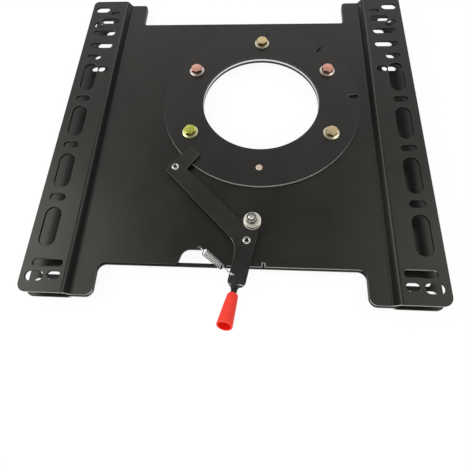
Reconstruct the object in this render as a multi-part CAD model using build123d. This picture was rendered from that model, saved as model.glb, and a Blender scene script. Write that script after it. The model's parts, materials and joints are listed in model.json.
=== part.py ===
from build123d import *
from math import cos, radians, sin, tan
import os

# Swivel seat base for a camper van: two pressed steel plates back to back. The lower
# one bolts to the seat box. The upper one carries the seat and turns about a bolted
# ring. A sprung lever on the upper plate drops a tooth into a notch of the ring.
# The origin is on the floor, in the middle of the lower plate's four end slots.
# Places named below are measured from the middle of the upper plate.

# Pressed plates, both made to the same outline
plate_width = 440.0
plate_length = 435.5
sheet = 2.5
rail_width = 55.3         # from the plate's side to the foot of the step
rail_rise = 7.0           # step from the web up to a rail
step_angle = 55.0
bend_radius = 3.0
recess_front = 36.05      # the web is set back from the rails' ends
recess_back = 40.55
tab_width = 22.4          # web that runs on beside each rail
corner_front = 10.0
corner_back = 7.0
tab_corner_front = 8.0
tab_corner_back = 5.0
recess_fillet_front = 9.0
recess_fillet_back = 4.0
lower_shift = -1.5        # the lower outline lies this much nearer the handle
lower_slot_shift = -4.0   # and so do its slots

# Slots in the rails: distance of the middle from the side and from the end, then size.
# The long bays and the links between them are only in the upper plate.
bay_from_side = 19.6
bay_pitch = plate_length / 6.05
bay_width = 18.8
bay_length = bay_pitch - 25.0
link_width = 9.0
end_slot_from_side = 15.4
end_slot_from_end = 17.35
end_slot_length = 19.6
end_slot_width = 10.7
front_slots = ((36.4, 18.2, 14.2, 8.8), (27.0, 31.75, 33.6, 8.6))
back_slots = ((36.4, 26.1, 14.2, 8.0), (31.4, 40.45, 25.0, 10.6), (25.6, 64.35, 30.8, 9.6),
              (25.6, 88.75, 30.8, 10.0), (19.6, 109.8, 18.8, 9.0), (36.4, 131.75, 14.2, 9.0))
slant_slot = (16.0, 49.75, 16.5, 10.0)
slant_angle = 35.0

# Swivel: clamp ring, spacer ring and the two glide rings
ring_outer_radius = plate_length / 3.5263
ring_flange = 11.5        # the clamp ring reaches this far over the upper web
ring_width = 50.3
ring_thickness = 3.0
ring_to_step = 12.2
ring_to_back = 17.7
journal_clearance = 0.1
glide_thickness = 0.4
glide_margin = 1.0
notch_width = 5.5
notch_depth = 13.1
home_notch_angle = 228.4
back_notch_angles = (3.3, 48.4, 85.7)

# Flange bolts, and weld nuts under the lower plate
bolts_from_rim = 24.8
bolt_angles = (90.0, 150.0, 210.0, 330.0, 30.0)
screw_angle = 270.0
bolt_radius = 4.0
bolt_hole_radius = 4.3
bolt_flange_radius = 9.7
bolt_flange_thickness = 1.6
bolt_hex_flats = 13.0
bolt_head_height = 5.6
nut_height = 6.0
bolt_tip = 0.2            # thread that shows past a nut
screw_head_height = 5.3
screw_stand = 0.8         # end of the sixth screw above the ring

# Lock lever, cut from flat bar: its head is placed from the home notch at the rim
lever_thickness = 3.0
ring_to_lever = 0.3
arm_corner = (-27.6, -12.6)
head_left = (-1.0, 18.0)
head_right = (11.9, 9.1)
head_root = (-2.3, -11.3)
head_rivet_place = (-15.7, -8.8)
head_fillet = 1.5

# The lever's eye and handle are placed from its pivot
pivot_from_axis = -7.0
pivot_from_front = 48.7
eye_radius = 10.4
arm_end = (-15.7, 5.1)
hip = (9.2, -5.0)
handle_end_right = (-4.9, -72.9)
handle_end_left = (-24.1, -72.9)
waist = (-17.6, -41.0)
elbow = (-16.7, -24.7)
arm_rivet_place = (-4.4, -21.7)
elbow_fillet = 18.0
handle_fillet = 7.0

# Lock tooth under the lever's head, just outside the rim
tooth_width = 4.0
tooth_length = 8.0
tooth_to_ring = 0.5
tooth_to_web = 0.5

# Pivot stack
stud_radius = 3.0
bush_radius = 5.0
bush_flange_radius = 8.0
bush_play = 0.05
washer_radius = 9.3
washer_thickness = 1.6
washer_edge = 0.5
friction_radius = 9.0
friction_thickness = 3.0
lock_washer_radius = 5.6
lock_washer_thickness = 1.5
lock_washer_gap = 1.2
pivot_nut_flats = 10.0
pivot_nut_height = 5.0
stud_tip = 1.2
chamfer_edge = 0.6

# Tubular rivets that hold a glide pad under each end of the lever
rivet_hole_radius = 2.1
rivet_tube_radius = 2.8
rivet_rim_radius = 4.4
rivet_rim_height = 0.9
pad_radius = 6.5

# Handle rod and grip, placed from the pivot
rod_radius = 3.2
rod_bend = (-15.0, -74.0)
rod_lap = 7.5             # length of rod slotted over the lever's end
weld_reach = 1.2
grip_turn = 9.8           # the grip leans to the left of straight ahead
grip_rise = 26.0
neck_length = 5.8
grip_length = 38.7
grip_small_radius = 5.6
grip_large_radius = 7.9
grip_shoulder = 2.2
grip_floor = 3.0
grip_edge = 0.8
grip_lip = 1.6
grip_dish = 0.8

# Return spring from the upper plate to the lever, placed from the pivot
anchor = (-55.4, -28.6)
anchor_hole_radius = 1.8
spring_hole = (-18.0, -59.8)
spring_hole_radius = 1.7
wire_radius = 0.6
wire_sides = 6
coil_radius = 3.2
coil_turns = 15
turn_steps = 10
coil_start = (-50.3, -34.2)
coil_end = (-29.6, -51.1)
coil_lift = 1.9           # axis at the first coil above the upper web
coil_climb = 3.1          # and how much higher it is at the last
hook_gap = 0.2
spring_notch = ((-82.5, -51.0), (-77.0, -47.0), (-72.1, -31.6), (-53.0, -31.6),
                (-48.2, -30.2), (-22.7, -51.0))
notch_fillet_left = 10.0
notch_fillet_back = 3.0

# Window in the lower plate behind the spring, and a mark notch in the upper web
window_left = -84.0
window_right = -26.0
window_back = -27.0
window_strip = 4.4
window_fillet = 5.0
mark_place = 14.0
mark_width = 2.8
mark_depth = 4.4

# Sizes that follow from the ones above
half_width = plate_width / 2
half_length = plate_length / 2
rail_foot = half_width - rail_width
tab_side = rail_foot - tab_width
web_front = recess_front - half_length
web_back = half_length - recess_back
axis_x = rail_foot - ring_to_step - ring_outer_radius
axis_y = web_back - ring_to_back - ring_outer_radius
ring_inner_radius = ring_outer_radius - ring_width
spacer_radius = ring_outer_radius - ring_flange
notch_root_radius = ring_outer_radius - notch_depth
bolt_circle_radius = ring_outer_radius - bolts_from_rim
pivot_x = axis_x + pivot_from_axis
pivot_y = web_front + pivot_from_front

# Levels above the floor
lower_web_bottom = rail_rise
lower_web_top = lower_web_bottom + sheet
upper_web_bottom = lower_web_top + glide_thickness
upper_web_top = upper_web_bottom + sheet
ring_bottom = upper_web_top + glide_thickness
ring_top = ring_bottom + ring_thickness
lever_bottom = ring_top + ring_to_lever
lever_top = lever_bottom + lever_thickness
above_all = 3 * plate_length / 10     # longer than the base is high, for cutters

BASE = (Align.CENTER, Align.CENTER, Align.MIN)
TOP = (Align.CENTER, Align.CENTER, Align.MAX)


def at_plate(x, y, z=0.0):
    """A place measured from the middle of the upper plate."""
    return Pos(x, y - lower_slot_shift, z)


def at_axis(radius=0.0, angle=0.0, z=0.0):
    """A place on a circle about the swivel axis, turned to face outwards."""
    return at_plate(axis_x, axis_y, z) * Rot(0, 0, angle) * Pos(radius, 0, 0)


def from_pivot(point, z=0.0):
    """A place measured from the lever's pivot."""
    return at_plate(pivot_x + point[0], pivot_y + point[1], z)


def from_home(point, z=0.0):
    """A place measured from the home notch at the ring's rim."""
    rim_x = axis_x + ring_outer_radius * cos(radians(home_notch_angle))
    rim_y = axis_y + ring_outer_radius * sin(radians(home_notch_angle))
    return at_plate(rim_x + point[0], rim_y + point[1], z)


def cutter(radius):
    """Upright round cutter through everything."""
    return Cylinder(radius, above_all)


def outline_of(places):
    return make_face(Polyline(*[place.position for place in places], close=True))


def round_corner(face, place, radius):
    """Rounds the corner of a flat face that is nearest a place."""
    return fillet(face.vertices().sort_by_distance(place)[0], radius)


def rail_section():
    """Section of the upper plate across its rails, with the web's underside at zero."""
    miter = sheet * tan(radians(step_angle / 2))
    rail_head = rail_foot + rail_rise / tan(radians(step_angle))
    top = [(rail_foot, sheet), (rail_head, rail_rise + sheet), (half_width, rail_rise + sheet)]
    under = [(half_width, rail_rise), (rail_head + miter, rail_rise), (rail_foot + miter, 0)]
    half = top + under
    points = half + [(-x, z) for x, z in reversed(half)]
    face = make_face(Polyline(*points, close=True))
    outer = bend_radius + sheet
    bends = [(top[0], bend_radius), (top[1], outer), (under[1], bend_radius), (under[2], outer)]
    for (x, z), radius in bends:
        for side in (x, -x):
            face = round_corner(face, (side, z, 0), radius)
    return face


def plate_outline():
    """Outline seen from above: full length at the rails, web set back at both ends."""
    outline = Rectangle(plate_width, plate_length)
    outline -= Pos(0, -half_length) * Rectangle(2 * tab_side, 2 * recess_front)
    outline -= Pos(0, half_length) * Rectangle(2 * tab_side, 2 * recess_back)
    corners = [
        (half_width, -half_length, corner_front),
        (half_width, half_length, corner_back),
        (tab_side, -half_length, tab_corner_front),
        (tab_side, half_length, tab_corner_back),
        (tab_side, web_front, recess_fillet_front),
        (tab_side, web_back, recess_fillet_back),
    ]
    for x, y, radius in corners:
        for side in (x, -x):
            outline = round_corner(outline, (side, y, 0), radius)
    return outline


def end_slots():
    """Slots at both ends of the right-hand rail as (x, y, length, width, turn)."""
    end_y = half_length - end_slot_from_end
    slots = []
    for y in (-end_y, end_y):
        slots.append((half_width - end_slot_from_side, y, end_slot_length, end_slot_width, 0))
    for side, end, length, width in front_slots:
        slots.append((half_width - side, end - half_length, length, width, 0))
    for side, end, length, width in back_slots:
        slots.append((half_width - side, half_length - end, length, width, 0))
    side, end, length, width = slant_slot
    slots.append((half_width - side, half_length - end, length, width, slant_angle))
    return slots


def bay_slots():
    """Long bays of the right-hand rail and the links between them."""
    slots = []
    bay_x = half_width - bay_from_side
    for step in (-2, -1, 0, 1):
        slots.append((bay_x, step * bay_pitch, bay_length, bay_width, 90))
    for step in (-1.5, -0.5, 0.5):
        slots.append((bay_x, step * bay_pitch, bay_width, link_width, 0))
    return slots


def slot_cutter(slots):
    """The same slots in both rails as one set of upright prisms."""
    shapes = []
    for x, y, length, width, turn in slots:
        shapes.append(Pos(x, y) * Rot(0, 0, turn) * SlotOverall(length, width))
        shapes.append(Pos(-x, y) * Rot(0, 0, -turn) * SlotOverall(length, width))
    return extrude(Sketch() + shapes, amount=above_all, both=True)


def pressed_plate():
    """Plate with its rails stepped up, about its own middle, web underside at zero."""
    band = extrude(Plane.XZ * rail_section(), amount=plate_length, both=True)
    return band & extrude(plate_outline(), amount=above_all, both=True)


def bolt_holes(radius, angles):
    return [at_axis(bolt_circle_radius, angle) * cutter(radius) for angle in angles]


def spring_notch_cutter():
    """Open notch in the web's front edge, with room for the spring's coils."""
    corners = [from_pivot(point) for point in spring_notch]
    face = outline_of(corners)
    face = round_corner(face, corners[2].position, notch_fillet_left)
    face = round_corner(face, corners[3].position, notch_fillet_back)
    return extrude(face, amount=above_all)


def make_upper_plate():
    plate = at_plate(0, 0, upper_web_bottom) * (pressed_plate() - slot_cutter(end_slots() + bay_slots()))
    mark = Box(mark_width, 2 * mark_depth, above_all)
    cuts = [
        at_axis() * cutter(spacer_radius + journal_clearance),
        from_pivot((0, 0)) * cutter(stud_radius),
        from_pivot(anchor) * cutter(anchor_hole_radius),
        spring_notch_cutter(),
        at_plate(pivot_x + mark_place, web_front) * mark,
    ]
    return plate - cuts


def make_lower_plate():
    plate = at_plate(0, lower_shift, lower_web_top) * mirror(pressed_plate(), about=Plane.XY)
    front = web_front + lower_shift + window_strip
    back = pivot_y + window_back
    window = Rectangle(window_right - window_left, back - front)
    window = extrude(fillet(window.vertices(), window_fillet), amount=above_all, both=True)
    middle = pivot_x + (window_left + window_right) / 2
    cuts = [
        at_plate(0, lower_slot_shift) * slot_cutter(end_slots()),
        at_plate(middle, (front + back) / 2) * window,
        at_axis() * cutter(ring_inner_radius),
    ]
    cuts += bolt_holes(bolt_hole_radius, bolt_angles + (screw_angle,))
    return plate - cuts


def ring(inner, outer, bottom, height):
    """Flat ring about the swivel axis."""
    return at_axis(z=bottom) * extrude(Circle(outer) - Circle(inner), amount=height)


def make_spacer_ring():
    body = ring(ring_inner_radius, spacer_radius, lower_web_top, ring_bottom - lower_web_top)
    return body - bolt_holes(bolt_hole_radius, bolt_angles + (screw_angle,))


def make_clamp_ring():
    body = ring(ring_inner_radius, ring_outer_radius, ring_bottom, ring_thickness)
    reach = 2 * notch_depth
    for angle in (home_notch_angle,) + back_notch_angles:
        body -= at_axis(notch_root_radius + reach / 2, angle) * Box(reach, notch_width, above_all)
    body -= bolt_holes(bolt_hole_radius, bolt_angles)
    return body - bolt_holes(bolt_radius, (screw_angle,))


def make_glide_ring(bottom):
    """Thin plastic ring that a web of the upper plate slides on."""
    return ring(spacer_radius + glide_margin, ring_outer_radius - glide_margin, bottom, glide_thickness)


def nut_blank(flats, height, inner_radius=0.0):
    """Hexagon standing on zero, its top corners turned off by a cone."""
    corner = flats / 3 ** 0.5
    turned = Cone(corner + height, corner - height / 6, 7 * height / 6, align=BASE)
    body = turned & extrude(RegularPolygon(flats / 2, 6, major_radius=False), amount=height)
    if inner_radius:
        body -= Cylinder(inner_radius, 4 * height)
    return body


def make_flange_bolt(angle):
    """Flange bolt put in from above: hexagon, flange and shank."""
    rim = Cylinder(bolt_flange_radius, bolt_flange_thickness, align=BASE)
    rim = chamfer(rim.edges().sort_by(Axis.Z)[-1], 2 * bolt_flange_thickness / 3, bolt_flange_radius / 4)
    hexagon = nut_blank(bolt_hex_flats, bolt_head_height - bolt_flange_thickness)
    head = rim + Pos(0, 0, bolt_flange_thickness) * hexagon
    length = ring_top - (lower_web_bottom - nut_height - bolt_tip)
    shank = Cylinder(bolt_radius, length, align=TOP)
    shank = chamfer(shank.edges().sort_by(Axis.Z)[0], chamfer_edge)
    return at_axis(bolt_circle_radius, angle, ring_top) * (head + shank)


def make_weld_nut(angle):
    nut = Rot(180, 0, 0) * nut_blank(bolt_hex_flats, nut_height, bolt_radius)
    return at_axis(bolt_circle_radius, angle, lower_web_bottom) * nut


def make_sixth_screw():
    """Screw put in from below and threaded into the clamp ring, its end showing on top."""
    head = Rot(180, 0, 0) * nut_blank(bolt_hex_flats, screw_head_height)
    length = ring_top + screw_stand - lower_web_bottom
    shank = Cylinder(bolt_radius, length, align=BASE)
    shank = chamfer(shank.edges().sort_by(Axis.Z)[-1], chamfer_edge)
    return at_axis(bolt_circle_radius, screw_angle, lower_web_bottom) * (head + shank)


def make_lever_plate():
    """Flat lever: head over the ring's rim, arm, eye at the pivot, handle."""
    head = [from_home(point) for point in (arm_corner, head_left, head_right, head_root)]
    right = [from_pivot(point) for point in (arm_end, (0, 0), hip, handle_end_right)]
    left = [from_pivot(point) for point in (handle_end_left, waist, elbow)]
    face = outline_of(head + right + left)
    for corner in head:
        face = round_corner(face, corner.position, head_fillet)
    for corner in (right[-1], left[0]):
        face = round_corner(face, corner.position, handle_fillet)
    for corner in left[1:]:
        face = round_corner(face, corner.position, elbow_fillet)
    face += from_pivot((0, 0)) * Circle(eye_radius)
    body = Pos(0, 0, lever_bottom) * extrude(face, amount=lever_thickness)
    holes = [
        from_pivot((0, 0)) * cutter(bush_radius + bush_play),
        from_pivot(spring_hole) * cutter(spring_hole_radius),
        from_pivot(arm_rivet_place) * cutter(rivet_tube_radius),
        from_home(head_rivet_place) * cutter(rivet_tube_radius),
    ]
    return body - holes


def make_lock_tooth():
    """Hardened block welded under the lever's head, in line with the home notch."""
    bottom = upper_web_top + tooth_to_web
    middle = ring_outer_radius + tooth_to_ring + tooth_length / 2
    block = Box(tooth_length, tooth_width, lever_bottom - bottom, align=BASE)
    inner = block.edges().filter_by(Axis.Z).group_by(Axis.X)[0]
    return at_axis(middle, home_notch_angle, bottom) * chamfer(inner, chamfer_edge)


def disc(radius, bottom, height, hole=0.0, edge=0.0):
    """Washer or bush about the lever's pivot."""
    body = Cylinder(radius, height, align=BASE)
    if edge:
        body = fillet(body.edges().sort_by(Axis.Z)[-1], edge)
    if hole:
        body -= Cylinder(hole, 4 * height)
    return from_pivot((0, 0), bottom) * body


def pivot_stack():
    """Bush, washers, nut and stud, from the upper web upwards."""
    stack = {}
    bush_top = lever_top + bush_play
    flange = disc(bush_flange_radius, upper_web_top, lever_bottom - upper_web_top)
    bush = flange + disc(bush_radius, upper_web_top, bush_top - upper_web_top)
    stack["pivot_bush"] = bush - from_pivot((0, 0)) * cutter(stud_radius)
    level = bush_top
    layers = [
        ("pivot_washer_lower", washer_radius, washer_thickness, washer_edge),
        ("friction_washer", friction_radius, friction_thickness, 0.0),
        ("pivot_washer_upper", washer_radius, washer_thickness, washer_edge),
        ("lock_washer", lock_washer_radius, lock_washer_thickness, 0.0),
    ]
    for name, radius, height, edge in layers:
        stack[name] = disc(radius, level, height, stud_radius, edge)
        level += height
    reach = 2 * lock_washer_radius
    split = Pos(reach / 2, 0) * Box(reach, lock_washer_gap, above_all)
    stack["lock_washer"] -= from_pivot((0, 0)) * Rot(0, 0, home_notch_angle) * split
    nut = nut_blank(pivot_nut_flats, pivot_nut_height, stud_radius)
    stack["pivot_nut"] = from_pivot((0, 0), level) * Rot(0, 0, 12) * nut
    level += pivot_nut_height + stud_tip
    stud = Cylinder(stud_radius, level - upper_web_bottom, align=BASE)
    stud = chamfer(stud.edges().sort_by(Axis.Z)[-1], chamfer_edge)
    stack["pivot_stud"] = from_pivot((0, 0), upper_web_bottom) * stud
    return stack


def make_rivet(place):
    """Tubular rivet: rolled rim on the lever, tube down into the glide pad."""
    depth = lever_top - upper_web_top - glide_margin
    tube = Cylinder(rivet_tube_radius, depth, align=TOP)
    rim = Cylinder(rivet_rim_radius, rivet_rim_height, align=BASE)
    rim = fillet(rim.edges().sort_by(Axis.Z)[-1], 3 * rivet_rim_height / 4)
    return place * Pos(0, 0, lever_top) * (tube + rim - Cylinder(rivet_hole_radius, 4 * depth))


def make_pad(place):
    """Plastic glide pad that keeps the lever level over the web."""
    body = Cylinder(pad_radius, lever_bottom - upper_web_top, align=BASE)
    return place * Pos(0, 0, upper_web_top) * (body - cutter(rivet_tube_radius))


def along_grip():
    """Frame at the bend of the handle, with Z along the grip."""
    height = (lever_bottom + lever_top) / 2
    return from_pivot(rod_bend, height) * Rot(0, 0, -grip_turn) * Rot(90 - grip_rise, 0, 0)


def make_handle_rod():
    """Round rod slotted over the lever's end and welded, bent up into the grip."""
    height = (lever_bottom + lever_top) / 2
    bend = from_pivot(rod_bend, height)
    lap = bend * Rot(-90, 0, 0) * Cylinder(rod_radius, rod_lap, align=BASE)
    inside_grip = neck_length + grip_length - grip_floor
    neck = along_grip() * Cylinder(rod_radius, inside_grip, align=BASE)
    return lap + neck + bend * Sphere(rod_radius) - make_lever_plate()


def make_grip():
    """Moulded grip: rounded shoulder, taper, and an end dished inside a lip."""
    start = neck_length
    end = neck_length + grip_length
    lip = grip_large_radius - grip_lip
    profile = Polyline(
        (0, start), (grip_small_radius, start), (grip_large_radius, end),
        (lip, end), (lip - grip_dish, end - grip_dish), (0, end - grip_dish), close=True)
    face = make_face(profile)
    face = round_corner(face, (grip_small_radius, start, 0), grip_shoulder)
    face = round_corner(face, (grip_large_radius, end, 0), grip_edge)
    body = revolve(Plane.XZ * face, Axis.Z)
    return along_grip() * (body - Cylinder(rod_radius, end - grip_floor, align=BASE))


def make_return_spring():
    """Extension spring as one bent wire with flats: hook, close coils, hook."""
    first = from_pivot(coil_start, upper_web_top + coil_lift).position
    last = from_pivot(coil_end, upper_web_top + coil_lift + coil_climb).position
    length = (last - first).length
    along = (last - first).normalized()
    side = along.cross(Vector(0, 0, 1)).normalized()
    up = side.cross(along)
    coils = []
    for step in range(coil_turns * turn_steps + 1):
        angle = radians(360 * step / turn_steps)
        centre = first + along * (length * step / (coil_turns * turn_steps))
        coils.append(centre + up * (coil_radius * cos(angle)) + side * (coil_radius * sin(angle)))
    into_web = from_pivot(anchor, upper_web_bottom + wire_radius).position
    over_web = from_pivot(anchor, upper_web_top + wire_radius + hook_gap).position
    over_lever = from_pivot(spring_hole, lever_top + wire_radius + hook_gap).position
    into_lever = from_pivot(spring_hole, lever_bottom + wire_radius).position
    path = Polyline(into_web, over_web, *coils, over_lever, into_lever)
    section = Plane(origin=into_web, z_dir=(0, 0, 1)) * RegularPolygon(wire_radius, wire_sides)
    return sweep(section, path=path, transition=Transition.RIGHT)


pieces = {
    "lower_plate": make_lower_plate(),
    "spacer_ring": make_spacer_ring(),
    "clamp_ring": make_clamp_ring(),
    "lower_glide_ring": make_glide_ring(lower_web_top),
    "upper_glide_ring": make_glide_ring(upper_web_top),
    "sixth_screw": make_sixth_screw(),
    "upper_plate": make_upper_plate(),
    "return_spring": make_return_spring(),
    "lever_plate": make_lever_plate(),
    "lock_tooth": make_lock_tooth(),
    "handle_rod": make_handle_rod(),
    "grip": make_grip(),
    "head_rivet": make_rivet(from_home(head_rivet_place)),
    "head_pad": make_pad(from_home(head_rivet_place)),
    "arm_rivet": make_rivet(from_pivot(arm_rivet_place)),
    "arm_pad": make_pad(from_pivot(arm_rivet_place)),
}
pieces.update(pivot_stack())
for number, angle in enumerate(bolt_angles, 1):
    pieces[f"flange_bolt_{number}"] = make_flange_bolt(angle)
    pieces[f"weld_nut_{number}"] = make_weld_nut(angle)

os.makedirs("parts", exist_ok=True)
for name, solid in pieces.items():
    export_step(solid, f"parts/{name}.step")
    print(name, round(solid.volume, 1))
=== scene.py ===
# %% [markdown]
# # Swivel seat base
# This file dresses a swivel base for a camper van's seat: two black pressed plates, a
# ring of bolts, a lock lever with a red grip and a small spring. The solids come from a
# CAD model, which is loaded first and stays where it is. Blender adds what CAD leaves
# plain: softened edges, wound wire, rolled rims, weld beads and the finishes.

# %% Load the CAD model
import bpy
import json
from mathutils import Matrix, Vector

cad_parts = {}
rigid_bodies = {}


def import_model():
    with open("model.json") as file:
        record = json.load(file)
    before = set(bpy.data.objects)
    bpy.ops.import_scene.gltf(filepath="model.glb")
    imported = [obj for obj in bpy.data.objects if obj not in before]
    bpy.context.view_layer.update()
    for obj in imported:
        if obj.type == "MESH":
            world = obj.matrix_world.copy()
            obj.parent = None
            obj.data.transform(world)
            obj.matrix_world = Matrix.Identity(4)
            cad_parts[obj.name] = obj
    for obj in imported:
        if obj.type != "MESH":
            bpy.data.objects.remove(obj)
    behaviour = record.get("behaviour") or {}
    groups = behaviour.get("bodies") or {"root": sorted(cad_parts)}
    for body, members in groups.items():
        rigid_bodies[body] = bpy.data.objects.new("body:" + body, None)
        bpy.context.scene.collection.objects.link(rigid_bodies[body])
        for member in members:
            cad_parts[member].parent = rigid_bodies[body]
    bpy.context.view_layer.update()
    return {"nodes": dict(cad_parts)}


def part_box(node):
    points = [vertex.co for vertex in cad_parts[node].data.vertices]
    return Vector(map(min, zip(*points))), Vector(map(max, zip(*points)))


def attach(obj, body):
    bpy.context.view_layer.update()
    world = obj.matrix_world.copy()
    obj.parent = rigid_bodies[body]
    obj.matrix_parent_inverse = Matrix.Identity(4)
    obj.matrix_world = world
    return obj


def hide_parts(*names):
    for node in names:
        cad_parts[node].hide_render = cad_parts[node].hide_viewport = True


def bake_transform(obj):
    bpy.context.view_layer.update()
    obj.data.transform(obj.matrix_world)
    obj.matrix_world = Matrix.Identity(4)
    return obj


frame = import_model()
print("CAD nodes:", len(frame["nodes"]))

# %% [markdown]
# Sizes are written in millimetres, as on a workshop drawing, and one helper turns them
# into Blender's metres. The places below are read off the CAD nodes, so a change in the
# drawing moves the dressed pieces with it.

# %% Places on the base
import json
import bpy
from math import cos, pi, radians, sin
from mathutils import Matrix, Vector

MM = 0.001


def mm(x, y, z=0.0):
    """A place in millimetres as a vector in metres."""
    return Vector((x, y, z)) * MM


def middle_of(node):
    """The middle of a CAD node's box."""
    low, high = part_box(node)
    return (Vector(low) + Vector(high)) / 2


swivel = middle_of("clamp_ring")
pivot = middle_of("pivot_stud")
ring_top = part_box("clamp_ring")[1][2]
lever_bottom, lever_top = (corner[2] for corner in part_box("lever_plate"))
print("swivel axis", [round(v / MM, 1) for v in swivel], "pivot", [round(v / MM, 1) for v in pivot])

# %% [markdown]
# ## Finishes
# Colours are picked as the hex values a painter would name, which are sRGB. Cycles
# works in linear light, so one function converts them. A second function adds a shader
# node, sets it, wires it and fills in a colour ramp's stops, which keeps each finish
# short to read. A third one clears a new material down to its surface shader.

# %% Helpers for colours and shader nodes
def linear(code):
    """A hex colour as linear red, green, blue and one."""
    parts = [int(code[i:i + 2], 16) / 255 for i in (1, 3, 5)]
    return [v / 12.92 if v <= 0.04045 else ((v + 0.055) / 1.055) ** 2.4 for v in parts] + [1.0]


def add(tree, kind, inputs=None, stops=(), **settings):
    """Adds a shader node. Inputs are values or outputs of other nodes, stops are (position, hex)."""
    new = tree.nodes.new(kind)
    for name, value in settings.items():
        setattr(new, name, value)
    for name, value in (inputs or {}).items():
        if isinstance(value, bpy.types.NodeSocket):
            tree.links.new(value, new.inputs[name])
        else:
            new.inputs[name].default_value = value
    for _ in stops[2:]:
        new.color_ramp.elements.new(0.5)
    for number, (position, code) in enumerate(stops):
        new.color_ramp.elements[number].position = position
        new.color_ramp.elements[number].color = linear(code)
    return new


def finish_named(name):
    """A new material with nothing in it but its output and a surface shader."""
    material = bpy.data.materials.new(name)
    material.use_nodes = True
    tree = material.node_tree
    tree.nodes.clear()
    output = add(tree, "ShaderNodeOutputMaterial")
    surface = add(tree, "ShaderNodeBsdfPrincipled")
    tree.links.new(surface.outputs[0], output.inputs["Surface"])
    return material, tree, surface


print("middle grey, #808080, is", round(linear("#808080")[0], 3), "in linear light")

# %% [markdown]
# ### Powder coat
# The plates, the ring and the lever are mild steel with a satin black polyester powder
# coat. Over the coat's own black, walls that face sideways are painted darker, a painted
# shade, and rounded rims that face half up are painted lighter, a painted highlight, in
# the colours that each coat sets. That could be painted edge by edge. Two masks from the
# surface's own direction find every wall and every rim at once, and a grain breaks them
# into patches, which keeps them from looking drawn.

# %% Masks for painted shade on walls and painted highlight on rims
PATCH_SCALE = 1 / (2.2 * MM)        # patches in the painted shade and highlight, 2.2 mm across


def wall_and_rim_shading(tree, place, patchiness):
    """Shares of walls and of rims for painted shade and highlight, 0 to 1, and the grain that breaks them up.
    """
    facing = add(tree, "ShaderNodeSeparateXYZ", {"Vector": place.outputs["Normal"]})
    upright = add(tree, "ShaderNodeMath", {0: facing.outputs["Z"]}, operation="ABSOLUTE")
    side = add(tree, "ShaderNodeMapRange", {
        "Value": upright.outputs[0], "From Min": 0.25, "From Max": 0.7, "To Min": 1.0, "To Max": 0.0})
    slant = add(tree, "ShaderNodeMath", {0: upright.outputs[0], 1: 0.65, 2: 0.3}, operation="COMPARE")
    grain = add(tree, "ShaderNodeTexNoise", {
        "Vector": place.outputs["Object"], "Scale": PATCH_SCALE, "Detail": 5.0, "Roughness": 0.7})
    patchy = add(tree, "ShaderNodeMapRange", {
        "Value": grain.outputs["Fac"], "From Min": 0.3, "From Max": 0.7, "To Min": 1.0 - patchiness, "To Max": 1.0})
    wall_shading = add(tree, "ShaderNodeMath", {0: side.outputs[0], 1: patchy.outputs[0]}, operation="MULTIPLY")
    rim_shading = add(tree, "ShaderNodeMath", {0: slant.outputs[0], 1: patchy.outputs[0]}, operation="MULTIPLY")
    return wall_shading.outputs[0], rim_shading.outputs[0], grain.outputs["Fac"]


print("patches in the shading:", round(1 / PATCH_SCALE / MM, 1), "mm")

# %% [markdown]
# The lever's lower end is painted darker towards the grip, in patches, a painted shade.
# A share that grows along the lever and is broken up by the same grain lays the darker
# black over it.

# %% Mask for the painted shade on the lever's lower end
LEVER_SHADE_START, LEVER_SHADE_END = -142 * MM, -168 * MM


def shaded(tree, here, grain):
    """Share of the painted shade on the lever's lower end, growing towards the grip."""
    along = add(tree, "ShaderNodeSeparateXYZ", {"Vector": here})
    near_end = add(tree, "ShaderNodeMapRange", {
        "Value": along.outputs["Y"], "From Min": LEVER_SHADE_START, "From Max": LEVER_SHADE_END})
    patch = add(tree, "ShaderNodeValToRGB", {"Fac": grain}, stops=[(0.36, "#000000"), (0.54, "#FFFFFF")])
    end_shade = add(tree, "ShaderNodeMath", {0: near_end.outputs[0], 1: patch.outputs["Color"]},
                 operation="MULTIPLY")
    return end_shade.outputs[0]


print("handled end:", round((LEVER_SHADE_START - LEVER_SHADE_END) / MM), "mm long")

# %% [markdown]
# The melted film is never quite level: a fine orange peel about 1.5 mm across breaks up
# each reflection. Most of what the eye sees on such a black is reflection, so the colour
# is close to black and the shine does the rest. The colours are laid over each other in
# order: the flats first, then the painted shade and highlight of the walls and the rims,
# and last the painted shade on the lever's lower end.

# %% Powder coat
PEEL = 1 / (1.5 * MM)        # orange peel 1.5 mm across
CLOUD = 1 / (60 * MM)        # handling marks some 60 mm across


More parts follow.
